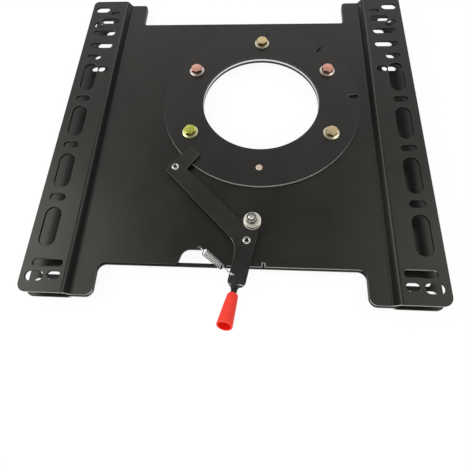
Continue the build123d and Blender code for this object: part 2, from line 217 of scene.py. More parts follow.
def powder_coat(name, flat, cloudy, wall_shading, rim_shading=None, patchiness=0.5, shine=0.5, end_shade=None):
    """Satin black coat: colours of its flats, cloudy patches, painted shade and highlight on walls and rims,
    and painted shade on the lever's end.
    """
    material, tree, surface = finish_named(name)
    place = add(tree, "ShaderNodeTexCoord")
    here = place.outputs["Object"]
    cloud = add(tree, "ShaderNodeTexNoise", {"Vector": here, "Scale": CLOUD, "Detail": 4.0, "Roughness": 0.6})
    flats = add(tree, "ShaderNodeValToRGB", {"Fac": cloud.outputs["Fac"]}, stops=[(0.4, flat), (0.7, cloudy)])
    wall_shading_share, rim_shading_share, grain = wall_and_rim_shading(tree, place, patchiness)
    layers = [(wall_shading_share, wall_shading), (rim_shading_share, rim_shading or wall_shading)]
    if end_shade:
        layers.append((shaded(tree, here, grain), end_shade))
    colour = flats.outputs["Color"]
    for share, code in layers:
        layer = add(tree, "ShaderNodeMix", {0: share, 6: colour, 7: linear(code)}, data_type="RGBA")
        colour = layer.outputs[2]
    tree.links.new(colour, surface.inputs["Base Color"])
    satin = add(tree, "ShaderNodeMapRange", {
        "Value": cloud.outputs["Fac"], "From Min": 0.35, "From Max": 0.7, "To Min": 0.33, "To Max": 0.43})
    tree.links.new(satin.outputs[0], surface.inputs["Roughness"])
    peel = add(tree, "ShaderNodeTexNoise", {"Vector": here, "Scale": PEEL, "Detail": 2.0})
    bump = add(tree, "ShaderNodeBump", {
        "Height": peel.outputs["Fac"], "Strength": 0.25, "Distance": 0.05 * MM})
    tree.links.new(bump.outputs[0], surface.inputs["Normal"])
    surface.inputs["IOR"].default_value = 1.5
    surface.inputs["Specular IOR Level"].default_value = shine
    return material


print("orange peel:", round(1 / PEEL / MM, 1), "mm")

# %% [markdown]
# One function now gives every black of the base. The pressed slopes are dull and painted
# darker, a painted shade, the ring is a little lighter than the plates, the rod has little
# shine, and four coats have paler walls or rims for edges that are partly worn through and
# partly a painted highlight where they catch the light.

# %% Coats for each surface
# In the plates' and the ring's coats the darker walls are a painted shade and the lighter rims a painted
# highlight.
plate_coat = powder_coat("black_powder_coat_plate", "#15130D", "#1B1913", "#0E0D0C", rim_shading="#4A4946")
# The lower plate's walls and rims are painted nearly black, a painted shade.
lower_shade_coat = powder_coat("black_powder_coat_lower_painted_shade", "#15130D", "#1B1913", "#060606", rim_shading="#0E0D0C")
# The slopes and the rails' outer walls are painted darker, a painted shade.
slope_shade_coat = powder_coat("black_powder_coat_slope_painted_shade", "#0B0A08", "#100E0B", "#0B0A08", shine=0.22)
# The bore's bright rims are partly wear and partly a painted highlight.
bore_highlight_coat = powder_coat("black_powder_coat_bore_painted_highlight", "#16140F", "#1C1A15", "#0E0D0C", rim_shading="#D6D6D4")
# The ring's darker walls are a painted shade and its lighter rims a painted highlight.
ring_coat = powder_coat("black_powder_coat_ring", "#1B1A17", "#211F1C", "#0E0D0C", rim_shading="#2A2926")
# The ring's near rim is drawn bright, partly wear and partly a painted highlight.
rim_highlight_coat = powder_coat("black_powder_coat_rim_painted_highlight", "#1B1A17", "#211F1C", "#C0C0BE", patchiness=0.3)
# Near edges are drawn pale: partly wear and partly a painted highlight.
worn_highlight_coat = powder_coat("black_powder_coat_worn_edge_painted_highlight", "#16140F", "#1C1A15", "#C4C3C0", patchiness=0.3)
# The lever's darker walls and lighter rims are painted shade and painted highlight, and its nearly black
# lower end is a painted shade.
lever_coat = powder_coat("black_powder_coat_lever", "#1F1D19", "#272520", "#1A1917", rim_shading="#34332F",
                         end_shade="#060605")
# The head's pale rims are a painted highlight.
head_highlight_coat = powder_coat("black_powder_coat_head_painted_highlight", "#1F1D19", "#272520", "#1A1917", rim_shading="#75736C")
rod_coat = powder_coat("black_powder_coat_rod", "#0C0B0B", "#121110", "#121110", shine=0.25)
print("powder coats:", len(bpy.data.materials))

# %% [markdown]
# ### Zinc plating
# The five flange bolts are yellow chromated zinc. The chromate is a film so thin that
# it shows interference colours: straw, green and pink on bolts out of one box. A noise
# some 9 mm across lets the tint drift over one head. A bolt's flange is painted paler
# than its top, a painted highlight, and the sides of its hexagon are painted brown, a
# painted shade, so each bolt takes three of these. The pivot's washers have the clear
# chromate, which looks a creamy silver, and the nut a darker copy of it, a painted shade.
# The pivot's lock washer is blackened spring steel. The sixth screw's end has aged dull.
# Barrel plating leaves small parts slightly rough, so that they gather light from all round.

# %% Yellow and clear zinc
TINT_DRIFT = 1 / (9 * MM)
PLATE_GRAIN = 1 / (0.4 * MM)


def zinc(name, code, drift_code, rough):
    """Electroplated zinc: the chromate's tint, the tint it drifts to, and roughness."""
    material, tree, surface = finish_named(name)
    here = add(tree, "ShaderNodeTexCoord").outputs["Object"]
    drift = add(tree, "ShaderNodeTexNoise", {"Vector": here, "Scale": TINT_DRIFT, "Detail": 2.0})
    tint = add(tree, "ShaderNodeValToRGB", {"Fac": drift.outputs["Fac"]},
               stops=[(0.35, code), (0.7, drift_code)])
    tree.links.new(tint.outputs["Color"], surface.inputs["Base Color"])
    grain = add(tree, "ShaderNodeTexNoise", {"Vector": here, "Scale": PLATE_GRAIN, "Detail": 3.0})
    sheen = add(tree, "ShaderNodeMapRange", {
        "Value": grain.outputs["Fac"], "To Min": rough - 0.06, "To Max": rough + 0.1})
    tree.links.new(sheen.outputs[0], surface.inputs["Roughness"])
    bump = add(tree, "ShaderNodeBump", {
        "Height": grain.outputs["Fac"], "Strength": 0.15, "Distance": 0.03 * MM})
    tree.links.new(bump.outputs[0], surface.inputs["Normal"])
    surface.inputs["Metallic"].default_value = 1.0
    return material


straw_zinc = zinc("chromate_zinc_straw", "#F3DFB4", "#E6C994", 0.26)
green_zinc = zinc("chromate_zinc_green", "#E4E478", "#CFD04A", 0.26)
pink_zinc = zinc("chromate_zinc_pink", "#F8C0B0", "#EDA894", 0.26)
# Paler copies for the bolts' flanges: a painted highlight.
straw_zinc_highlight = zinc("chromate_zinc_straw_painted_highlight", "#F1EBD0", "#E8DFBC", 0.26)
green_zinc_highlight = zinc("chromate_zinc_green_painted_highlight", "#EFEFC0", "#E2E29C", 0.26)
pink_zinc_highlight = zinc("chromate_zinc_pink_painted_highlight", "#EFE0DA", "#E4D0C8", 0.26)
# Brown for the hexagons' sides: a painted shade.
side_shade_zinc = zinc("chromate_zinc_side_painted_shade", "#5E4A34", "#4A3A2A", 0.36)
screw_zinc = zinc("chromate_zinc_aged", "#F4E0CE", "#E8D2BE", 0.5)
clear_zinc = zinc("chromate_zinc_clear", "#FFFDF0", "#F2EFE2", 0.4)
# A darker copy of the clear chromate for the nut: a painted shade.
nut_shade_zinc = zinc("chromate_zinc_clear_nut_painted_shade", "#A9A8A4", "#989792", 0.2)
stud_zinc = zinc("chromate_zinc_clear_stud", "#FAFAF8", "#F2F2EE", 0.3)
dark_steel = zinc("blackened_spring_steel", "#2E2D2B", "#262524", 0.35)
print("zinc and blackened steel made")

# %% [markdown]
# ### Other metals
# The rivets are nickel plated and bright. The tacks at the rod's end and the burrs of
# the punched mark are steel that was brushed bare, and their brightness also paints the
# highlights there. The bush is sintered bronze full of oil, brown and open-grained. All
# three are plain metals, told apart by their colour and by how coarse their grain is.

# %% Nickel, brushed steel and bronze
def bright_metal(name, code, rough, grain_size, depth):
    """A plain metal with a fine grain of a real size in millimetres."""
    material, tree, surface = finish_named(name)
    here = add(tree, "ShaderNodeTexCoord").outputs["Object"]
    grain = add(tree, "ShaderNodeTexNoise", {"Vector": here, "Scale": 1 / (grain_size * MM), "Detail": 3.0})
    sheen = add(tree, "ShaderNodeMapRange", {
        "Value": grain.outputs["Fac"], "To Min": rough - 0.05, "To Max": rough + 0.08})
    tree.links.new(sheen.outputs[0], surface.inputs["Roughness"])
    bump = add(tree, "ShaderNodeBump", {
        "Height": grain.outputs["Fac"], "Strength": 0.2, "Distance": depth * MM})
    tree.links.new(bump.outputs[0], surface.inputs["Normal"])
    surface.inputs["Base Color"].default_value = linear(code)
    surface.inputs["Metallic"].default_value = 1.0
    return material


nickel = bright_metal("nickel_plate", "#D9D8D4", 0.2, 0.5, 0.01)
# Bright steel on the tacks and burrs: bare metal and a painted highlight.
bright_steel_highlight = bright_metal("brushed_steel_painted_highlight", "#D6D4D0", 0.5, 0.5, 0.05)
bronze = bright_metal("sintered_bronze", "#A8834A", 0.45, 0.4, 0.05)
print("plain metals made")

# %% [markdown]
# The spring is drawn wire with a zinc flash. Each coil is painted bright on top, a
# painted highlight, and dark underneath, a painted shade. The shade follows the wire and
# not the room, so the material reads how much there is from an attribute that the wire
# gets once it is wound.

# %% Spring wire with painted highlight and shade
SHADE_GRAIN = 1 / (0.8 * MM)


def wire_with_shade(name, highlight_code, code, shade_code, rough):
    """Spring wire painted bright on top and dark underneath, a painted highlight and painted shade read from
    the wire's own attribute.
    """
    material, tree, surface = finish_named(name)
    under = add(tree, "ShaderNodeAttribute", attribute_name="coil_shade")
    here = add(tree, "ShaderNodeTexCoord").outputs["Object"]
    spots = add(tree, "ShaderNodeTexNoise", {"Vector": here, "Scale": SHADE_GRAIN, "Detail": 2.0})
    shade_spots = add(tree, "ShaderNodeMapRange", {"Value": spots.outputs["Fac"], "To Min": 0.85, "To Max": 1.0})
    cover = add(tree, "ShaderNodeMath", {0: under.outputs["Fac"], 1: shade_spots.outputs[0]}, operation="MULTIPLY")
    tint = add(tree, "ShaderNodeValToRGB", {"Fac": cover.outputs[0]},
               stops=[(0.0, highlight_code), (0.1, code), (0.6, shade_code)])
    tree.links.new(tint.outputs["Color"], surface.inputs["Base Color"])
    surface.inputs["Metallic"].default_value = 1.0
    surface.inputs["Roughness"].default_value = rough
    return material


# Bright tops are a painted highlight, dark undersides a painted shade.
spring_wire = wire_with_shade("drawn_spring_wire_painted_shade", "#F2F2F0", "#C6C6C4", "#1C1B1A", 0.2)
print("spring wire made")

# %% [markdown]
# The spacer ring's bore is turned bright above a line and is satin black below it. The
# black isn't a metal, so the height sets the metallic value and the roughness as well as
# the colour.

# %% Turned bore, black below a line
FOOT_FADES, FOOT_ENDS = 10.3 * MM, 10.9 * MM


def bore_black_below(name, foot_code, bare_code):
    """Bright turned steel above a line, and satin black below it."""
    material, tree, surface = finish_named(name)
    height = add(tree, "ShaderNodeSeparateXYZ", {"Vector": add(tree, "ShaderNodeTexCoord").outputs["Object"]})
    bare = add(tree, "ShaderNodeMapRange", {
        "Value": height.outputs["Z"], "From Min": FOOT_FADES, "From Max": FOOT_ENDS})
    for socket, on_foot, on_steel in (("Metallic", 0.0, 1.0), ("Roughness", 0.5, 0.3)):
        level = add(tree, "ShaderNodeMapRange", {
            "Value": bare.outputs[0], "To Min": on_foot, "To Max": on_steel})
        tree.links.new(level.outputs[0], surface.inputs[socket])
    tint = add(tree, "ShaderNodeValToRGB", {"Fac": bare.outputs[0]},
               stops=[(0.0, foot_code), (1.0, bare_code)])
    tree.links.new(tint.outputs["Color"], surface.inputs["Base Color"])
    return material


turned_steel = bore_black_below("turned_bore_dark_foot", "#0C0B0A", "#E2E2E0")
print("dark foot ends", round(FOOT_ENDS / MM, 1), "mm up")

# %% [markdown]
# ### Plastics
# The grip is moulded in red PVC with the skin of a sparked mould, a grain of about half
# a millimetre, and its pressed-in end is painted a deeper, duller red, a painted shade in
# the dish. The friction washer is brown fibre and the glide rings are black acetal. The
# pads are natural nylon, which is milky and lets a little light in, so it alone gets some
# subsurface scattering.

# %% Moulded plastics
FLOW = 1 / (14 * MM)         # slow changes of colour from the plastic's flow
SPARK_GRAIN = 1 / (0.5 * MM)


def moulded(name, code, deep, rough, shine=0.5, soft=0.0):
    """Moulded plastic: colour, its deeper patches, roughness, shine and softness."""
    material, tree, surface = finish_named(name)
    here = add(tree, "ShaderNodeTexCoord").outputs["Object"]
    flow = add(tree, "ShaderNodeTexNoise", {"Vector": here, "Scale": FLOW, "Detail": 2.0})
    colour = add(tree, "ShaderNodeValToRGB", {"Fac": flow.outputs["Fac"]}, stops=[(0.3, code), (0.8, deep)])
    tree.links.new(colour.outputs["Color"], surface.inputs["Base Color"])
    spark = add(tree, "ShaderNodeTexNoise", {"Vector": here, "Scale": SPARK_GRAIN, "Detail": 3.0})
    bump = add(tree, "ShaderNodeBump", {
        "Height": spark.outputs["Fac"], "Strength": 0.2, "Distance": 0.03 * MM})
    tree.links.new(bump.outputs[0], surface.inputs["Normal"])
    surface.inputs["Roughness"].default_value = rough
    surface.inputs["IOR"].default_value = 1.5
    surface.inputs["Specular IOR Level"].default_value = shine
    if soft:
        surface.inputs["Subsurface Weight"].default_value = soft
        surface.inputs["Subsurface Scale"].default_value = 1 * MM
    return material


grip_skin = moulded("red_moulded_pvc", "#FB4A3E", "#F64338", 0.45, shine=0.1)
# The end's deeper red is a painted shade.
grip_end_shade = moulded("red_moulded_pvc_end_painted_shade", "#D00B04", "#C20903", 0.6, shine=0.02)
nylon = moulded("natural_nylon", "#E6E1D2", "#DDD6C4", 0.4, soft=0.15)
acetal = moulded("black_acetal", "#1A1A19", "#201F1E", 0.4)
fibre = moulded("brown_fibre_washer", "#56534A", "#4A473F", 0.6)
print("plastics made")

# %% [markdown]
# ## Handling pieces
# An operator acts on all that is selected, so each step starts by selecting one piece
# and nothing else. A finished piece gets its materials and the body that it moves with.

# %% Helpers to select, apply and dress
def only(obj):
    """Selects one object and nothing else."""
    bpy.ops.object.select_all(action="DESELECT")
    obj.select_set(True)
    bpy.context.view_layer.objects.active = obj


def apply_all(obj):
    """Applies a piece's modifiers in their order."""
    only(obj)
    for modifier in list(obj.modifiers):
        bpy.ops.object.modifier_apply(modifier=modifier.name)


def dress(obj, body, slot, *materials, parts=()):
    """Gives a piece its materials, each face its own from a list of parts, and a body. The slot is not used.
    """
    obj.data.materials.clear()
    for material in materials:
        obj.data.materials.append(material)
    for face, part in zip(obj.data.polygons, parts):
        face.material_index = part
    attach(obj, body)


print("left selected by the loading:", len(bpy.context.selected_objects), "objects")

# %% [markdown]
# ## Softened plates
# Real pressings have no knife edges: blanking rolls one edge over and the coat rounds
# the other. A copy of each CAD node gets a narrow bevel on its sharp edges, so that each
# edge catches a thin line of light. A CAD node is a shell of loose triangles, so the
# copy is merged and its flat faces are made whole first. A plate's top is then one face
# with dozens of holes. Left so, it is cut into triangles at render time, and some of
# those fold over each other, so the large faces are cut here, where the cut is clean.

# %% Helpers to merge, round and cut
def merged_copy(node):
    """A copy of a CAD node with its loose triangles merged into whole faces."""
    only(frame["nodes"][node])
    bpy.ops.object.duplicate()
    copy = bpy.context.object
    bpy.ops.object.parent_clear(type="CLEAR_KEEP_TRANSFORM")
    copy.name = node + "_soft"
    bpy.ops.object.mode_set(mode="EDIT")
    bpy.ops.mesh.select_all(action="SELECT")
    bpy.ops.mesh.customdata_custom_splitnormals_clear()
    bpy.ops.mesh.remove_doubles(threshold=0.001 * MM)
    bpy.ops.mesh.dissolve_limited(angle_limit=radians(0.5))
    bpy.ops.object.mode_set(mode="OBJECT")
    return copy


def round_edges(obj, width, sharpness, clamp=True):
    """Rounds the edges that turn by more than an angle in degrees."""
    bevel = obj.modifiers.new("soft edge", "BEVEL")
    bevel.width = width * MM
    bevel.segments = 2
    bevel.limit_method = "ANGLE"
    bevel.angle_limit = radians(sharpness)
    bevel.use_clamp_overlap = clamp
    apply_all(obj)


def cut_large_faces(obj):
    """Cuts faces of more than four sides into well-shaped triangles."""
    only(obj)
    bpy.ops.object.mode_set(mode="EDIT")
    bpy.ops.mesh.select_mode(type="FACE")
    bpy.ops.mesh.select_all(action="DESELECT")
    bpy.ops.mesh.select_face_by_sides(number=4, type="GREATER")
    bpy.ops.mesh.quads_convert_to_tris(quad_method="BEAUTY", ngon_method="BEAUTY")
    bpy.ops.mesh.select_mode(type="VERT")
    bpy.ops.object.mode_set(mode="OBJECT")


print("upper plate as loaded:", len(frame["nodes"]["upper_plate"].data.polygons), "loose triangles")

# %% [markdown]
# Each softened copy stands for its node, which stays for the motion but isn't seen. Flat
# tops keep flat shading, because smooth shading would spread the bevels' tilt into them.

# %% Soften the coated pieces
def softened(node, width, body, slot, material):
    """A copy of a CAD node with its sharp edges rounded, standing for that node."""
    copy = merged_copy(node)
    round_edges(copy, width, 35, clamp=False)
    cut_large_faces(copy)
    bpy.ops.object.shade_smooth_by_angle(angle=radians(40))
    for face in copy.data.polygons:
        face.use_smooth = abs(face.normal.z) < 0.9999
    dress(copy, body, slot, material)
    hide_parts(node)
    print(node, "softened,", len(copy.data.polygons), "faces")
    return copy


upper_plate = softened("upper_plate", 0.35, "upper", "black_coat", plate_coat)
lower_plate = softened("lower_plate", 0.35, "lower", "black_coat", lower_shade_coat)
clamp_ring = softened("clamp_ring", 0.3, "lower", "black_coat", ring_coat)
lever_plate = softened("lever_plate", 0.45, "lever", "black_coat", lever_coat)
handle_rod = softened("handle_rod", 0.15, "lever", "black_coat", rod_coat)

# %% [markdown]
# ## Worn edges and painted highlights
# Edges that face the user lose their coat first: the web's near edge beside the lever,
# the notch of the locking mark and the near ends of the rails. A second material on just
# those faces draws them pale, partly wear and partly a painted highlight. The faces are
# picked by place and direction, which holds when the mesh is made anew, where a list of
# face numbers wouldn't.

# %% Wear the plates' near edges and paint highlights on them
WEB_END, RAIL_END = -177.7, -195.0      # the webs end at the first, rails alone pass the second
RIGHT_OF_LEVER = 5.0
MARK_MIDDLE, MARK_HALF, MARK_DEPTH = 36.0, 2.2, 5.5


def coat_faces(piece, material, chosen):
    """Adds a material for the faces that a test picks by place in millimetres and normal."""
    piece.data.materials.append(material)
    faces = [face for face in piece.data.polygons if chosen(face.center / MM, face.normal)]
    for face in faces:
        face.material_index = len(piece.data.materials) - 1
    print(piece.name, "in", material.name, "on", len(faces), "faces")


def is_edge(normal):
    """An edge's faces point more to the side than a flat's."""
    return abs(normal.z) < 0.9


def rail_ends(place, normal):
    """Edges at the near ends of the rails."""
    return is_edge(normal) and normal.y < -0.3 and place.y < RAIL_END


def near_edges(place, normal):
    """Edges of the web beside the lever, of the mark's notch and of the rails' ends."""
    beside_lever = normal.y < -0.3 and place.x > RIGHT_OF_LEVER and abs(place.y - WEB_END) < 1
    at_mark = abs(place.x - MARK_MIDDLE) < MARK_HALF and WEB_END - 1 < place.y < WEB_END + MARK_DEPTH
    return rail_ends(place, normal) or is_edge(normal) and (beside_lever or at_mark)


coat_faces(upper_plate, worn_highlight_coat, near_edges)
coat_faces(lower_plate, worn_highlight_coat, rail_ends)

# %% [markdown]
# The press draws the steel down the two slopes between web and rails, and the coat is
# duller there and painted darker, a painted shade. The rails' outer walls have the same
# dull, darker look.

# %% Dull the slopes and the outer walls and paint shade on them
SLOPE_FOOT, SLOPE_HEAD = 162.0, 173.0   # across from the plate's middle
RAIL_SIDE = 219.7                       # only the outer walls lie further across
slope_low = lever_bottom / MM - 4.0
slope_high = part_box("upper_plate")[1][2] / MM - 0.9


def slopes_and_walls(place, normal):
    """The two pressed slopes and the rails' outer walls, without their rounded rims."""
    sideways = abs(normal.x) > 0.4 and abs(normal.y) < 0.01
    on_slope = SLOPE_FOOT < abs(place.x) < SLOPE_HEAD
    return sideways and (on_slope or abs(place.x) > RAIL_SIDE) and slope_low < place.z < slope_high


coat_faces(upper_plate, slope_shade_coat, slopes_and_walls)

# %% [markdown]
# On the lever the left flank near the grip is drawn pale, partly worn through and partly
# a painted highlight, and the head's rims get a painted highlight. The rod has the lever's
# own coat as far as the weld reaches, and a plain, deeper black where it enters the grip.

# %% Finish the lever and its rod
FLANK_NEAR, FLANK_FAR, FLANK_SIDE = -172.0, -140.0, 12.0
HEAD_START = -62.0                      # the lever's head lies beyond this
WELD_END = -202.5                       # the rod is plain in front of this


def left_flank(place, normal):
    """The lever's left edge beside the spring, just above the grip."""
    worn_stretch = FLANK_NEAR < place.y < FLANK_FAR and place.x < FLANK_SIDE
    return is_edge(normal) and normal.x < -0.3 and worn_stretch


coat_faces(lever_plate, worn_highlight_coat, left_flank)
coat_faces(lever_plate, head_highlight_coat, lambda place, normal: place.y > HEAD_START and 0.2 < normal.z < 0.99)
coat_faces(handle_rod, lever_coat, lambda place, normal: place.y > WELD_END)

# %% [markdown]
# The part of the clamp ring's rim that faces the user is drawn bright, partly wear and
# partly a painted highlight. Its bore and the near sides of its notches get the coat with
# bright rims, partly wear and partly a painted highlight as well.

# %% Wear the clamp ring and paint its highlights
BORE_RADIUS, RIM_RADIUS = 84.5, 121.0   # bore faces lie inside the first, rim faces outside the second


def from_axis(place):
    """How far a place in millimetres is from the swivel axis."""
    return (place - swivel / MM).xy.length


def near_rim(place, normal):
    """The part of the ring's outer rim that faces the user."""
    return is_edge(normal) and normal.y < -0.15 and from_axis(place) > RIM_RADIUS


def bore_and_notches(place, normal):
    """The ring's bore, and the walls inside its rim that face the user."""
    in_notch = from_axis(place) < RIM_RADIUS and normal.y < -0.1
    return is_edge(normal) and (from_axis(place) < BORE_RADIUS or in_notch)


coat_faces(clamp_ring, rim_highlight_coat, near_rim)
coat_faces(clamp_ring, bore_highlight_coat, bore_and_notches)

# %% [markdown]
# The sixth screw comes from below, and only its end shows in the ring. Its CAD solid is
# right once its edge is softened.

# %% Soften the sixth screw
softened("sixth_screw", 0.3, "lower", "yellow_zinc", screw_zinc)

# %% [markdown]
# ## Turned pieces
# Washers, rivets, bolts' flanges and the grip were all turned or moulded round. In
# Blender a circle is added at the foot of the shape and then grown ring by ring:
# extrude, lift, scale. The helper below does that along a list of (radius, height), and
# merges the first and last ring where the section closes on itself.

# %% Helpers for turned pieces
POLE = 0.002        # a ring this small is merged into one point on the axis


def turned(name, profile, sides=48):
    """Grows a circle along (radius, height) pairs in millimetres about the origin."""
    bpy.ops.object.select_all(action="DESELECT")
    radius, height = profile[0]
    bpy.ops.mesh.primitive_circle_add(vertices=sides, radius=radius * MM, location=(0, 0, height * MM))
    piece = bpy.context.object
    piece.name = name
    bpy.ops.object.transform_apply(location=True, rotation=False, scale=False)
    bpy.ops.object.mode_set(mode="EDIT")
    bpy.ops.mesh.select_all(action="SELECT")
    for next_radius, next_height in profile[1:]:
        lift = (0, 0, (next_height - height) * MM)
        bpy.ops.mesh.extrude_edges_move(TRANSFORM_OT_translate={"value": lift})
        grow = next_radius / radius
        bpy.ops.transform.resize(value=(grow, grow, 1), center_override=(0, 0, next_height * MM))
        radius, height = next_radius, next_height
    bpy.ops.mesh.select_all(action="SELECT")
    bpy.ops.mesh.remove_doubles(threshold=0.01 * MM)
    bpy.ops.mesh.normals_make_consistent(inside=False)
    bpy.ops.object.mode_set(mode="OBJECT")
    bpy.ops.object.shade_smooth_by_angle(angle=radians(35))
    return piece


def put(piece, place):
    """Moves a piece by a matrix and leaves the place in its mesh."""
    only(piece)
    piece.matrix_world = place @ piece.matrix_world
    bpy.ops.object.transform_apply(location=True, rotation=True, scale=True)


def copied(model, name, place):
    """A copy with its own mesh, moved by a matrix."""
    only(model)
    bpy.ops.object.duplicate(linked=False)
    copy = bpy.context.object
    copy.name = name
    put(copy, place)
    return copy


print("smallest ring:", POLE, "mm")

# %% [markdown]
# ## Grip
# The grip is a hollow moulding pushed on the rod: a rounded shoulder, a straight taper,
# and an end that is dished inside a lip. The rod rises at 26 degrees and leans a little
# to the left, so the grip is turned there after it is grown upright. The faces of the
# dished end are found while it still stands upright, where they are easy to name.

# %% Grow the grip
GRIP_RISE, GRIP_TURN = 26.0, 9.8        # degrees up from the floor and to the left
NECK = 5.8                              # from the rod's bend to the grip's foot
DISH_HEIGHT, DISH_RADIUS = 37.6, 6.2    # the dished end is above and inside these
grip_profile = [(3.25, 4.3), (3.25, 1.45), (3.4, 1.3), (4.1, 1.4), (4.8, 1.9), (5.3, 2.6), (5.65, 3.7),
                (5.8, 4.7), (6.5, 15.0), (7.2, 27.0), (7.72, 36.2), (7.85, 37.7), (7.7, 38.4), (7.3, 38.7),
                (6.5, 38.7), (6.1, 38.5), (5.6, 38.0), (4.6, 37.8), (2.4, 37.7), (POLE, 37.7)]
grip = turned("grip_moulding", [(r, z + NECK) for r, z in grip_profile], sides=64)
grip_parts = []
for face in grip.data.polygons:
    corners = [grip.data.vertices[v].co for v in face.vertices]
    above = min(corner.z for corner in corners) > (NECK + DISH_HEIGHT) * MM
    inside = max(corner.xy.length for corner in corners) < DISH_RADIUS * MM
    grip_parts.append(1 if above and inside else 0)
print("grip:", len(grip_parts), "faces,", sum(grip_parts), "in the dished end")

# %% [markdown]
# The rod's bend is where the upright grip's axis started, so one matrix leans it over,
# turns it left and carries it there.

# %% Push the grip on
rod_bend = mm(7.0, -203.0) + Vector((0, 0, (lever_top + lever_bottom) / 2))
lean = Matrix.Rotation(radians(90 - GRIP_RISE), 4, "X")
turn_left = Matrix.Rotation(radians(-GRIP_TURN), 4, "Z")
put(grip, Matrix.Translation(rod_bend) @ turn_left @ lean)
dress(grip, "lever", "red_grip", grip_skin, grip_end_shade, parts=grip_parts)
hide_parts("grip")
print("grip", [round(v / MM, 1) for v in grip.dimensions])

# %% [markdown]
# ## Hexagons
# Bolt heads and nuts are forged hexagons whose corners are turned off by a cone. A
# six-sided cylinder gives the flats, and a boolean with a coned disc takes the corners
# off, which leaves the curved edges that a real head has.

# %% Helper for hexagons
def hexagon_block(name, flats, height, both_ends=False):
    """A hexagon standing on zero with its top, or both ends, turned off by a cone."""
    corner = flats / 3 ** 0.5
    drop = 0.22 * (corner - flats / 2) * 3
    square_foot = [(corner + 1.0, -0.1), (corner + 1.0, 0.5)]
    coned_foot = [(corner - 0.8, 0.0), (corner + 0.3, drop)]
    foot = coned_foot if both_ends else square_foot
    head = [(corner + 0.3, height - drop), (flats / 2 - 0.1, height - 0.05), (flats / 2 - 0.4, height)]
    cone = turned("corner_cone", [(POLE, foot[0][1])] + foot + head + [(POLE, height)])
    bpy.ops.object.select_all(action="DESELECT")
    bpy.ops.mesh.primitive_cylinder_add(vertices=6, radius=corner * MM, depth=height * MM,
                                        location=(0, 0, height / 2 * MM))
    block = bpy.context.object
    block.name = name
    bpy.ops.object.transform_apply(location=True, rotation=False, scale=False)
    turn_off = block.modifiers.new("turn off corners", "BOOLEAN")
    turn_off.operation = "INTERSECT"
    turn_off.object = cone
    turn_off.solver = "EXACT"
    apply_all(block)
    round_edges(block, 0.2, 40)
    bpy.ops.object.shade_smooth_by_angle(angle=radians(25))
    bpy.data.objects.remove(cone)
    return block


print("a 13 mm hexagon is", round(2 * 13 / 3 ** 0.5, 1), "mm over its corners")

# %% [markdown]
# ## Flange bolts
# Each of the five bolts is a low hexagon on a coned flange with a shank below. One bolt
# is modelled, and its faces are sorted into flange, top and sides for its three tints:
# the flange painted paler, a painted highlight, and the sides brown, a painted shade.

# %% Model one bolt
bolt_foot = (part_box("flange_bolt_1")[0][2] - ring_top) / MM
bolt_head = (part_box("flange_bolt_1")[1][2] - ring_top) / MM
FLANGE_TOP = 1.6
HEXAGON_FOOT = 1.4                      # sunk a little into the flange
flange_profile = [(POLE, bolt_foot), (3.4, bolt_foot), (4.0, bolt_foot + 0.6), (4.0, 0.0), (9.4, 0.0),
                  (9.7, 0.25), (9.6, 0.75), (7.6, 1.5), (7.2, FLANGE_TOP), (POLE, FLANGE_TOP)]
bolt = turned("flange_bolt", flange_profile, sides=40)
hexagon = hexagon_block("bolt_hexagon", 13.0, bolt_head - HEXAGON_FOOT)
put(hexagon, Matrix.Translation(mm(0, 0, HEXAGON_FOOT)))
only(bolt)
hexagon.select_set(True)
bpy.ops.object.join()
FLANGE, TOP, SIDE = 0, 1, 2
bolt_parts = []
for face in bolt.data.polygons:
    on_hexagon = face.center.z > (FLANGE_TOP + 0.1) * MM
    bolt_parts.append(FLANGE if not on_hexagon else TOP if face.normal.z > 0.4 else SIDE)
print("one bolt:", len(bolt_parts), "faces,", bolt_parts.count(FLANGE), "of them below the hexagon")

# %% [markdown]
# The bolt is copied round the swivel axis to where the CAD bolts are. Each copy is
# turned on its own axis, as a wrench leaves it, and has its own tint.

# %% Copy the bolt
bolt_looks = {1: (12.0, straw_zinc, straw_zinc_highlight), 2: (4.0, pink_zinc, pink_zinc_highlight),
              3: (22.0, green_zinc, green_zinc_highlight), 4: (8.0, straw_zinc, straw_zinc_highlight),
              5: (15.0, pink_zinc, pink_zinc_highlight)}
for number, (turn, tint, highlight_tint) in bolt_looks.items():
    place = middle_of(f"flange_bolt_{number}")
    stand = Matrix.Translation((place.x, place.y, ring_top)) @ Matrix.Rotation(radians(turn), 4, "Z")
    head = copied(bolt, f"bolt_head_{number}", stand)
    # Each head: flange paler, a painted highlight; hexagon sides brown, a painted shade.
    dress(head, "lower", "yellow_zinc", highlight_tint, tint, side_shade_zinc, parts=bolt_parts)
    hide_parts(f"flange_bolt_{number}")
    print(head.name, "at", [round(v / MM, 1) for v in place[:2]])
bpy.data.objects.remove(bolt)

# %% [markdown]
# ## Rivets
# Two tubular rivets hold the glide pads. The tube is rolled over on top into a smooth
# rim, so the section goes up the bore, over the rim and down the outside.

# %% Model one rivet and copy it
rivet_profile = [(2.1, -3.0), (2.1, 0.2), (2.25, 0.6), (2.7, 0.88), (3.4, 0.88), (4.0, 0.6), (4.35, 0.2),
                 (4.4, 0.0), (2.75, 0.0), (2.75, -3.0), (2.1, -3.0)]
rivet = turned("rivet", rivet_profile, sides=36)
for node in ("head_rivet", "arm_rivet"):
    place = middle_of(node)
    rolled = copied(rivet, node + "_rolled", Matrix.Translation((place.x, place.y, lever_top)))
    dress(rolled, "lever", "nickel", nickel)
    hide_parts(node)
    print(rolled.name, "at", [round(v / MM, 1) for v in place[:2]])
bpy.data.objects.remove(rivet)

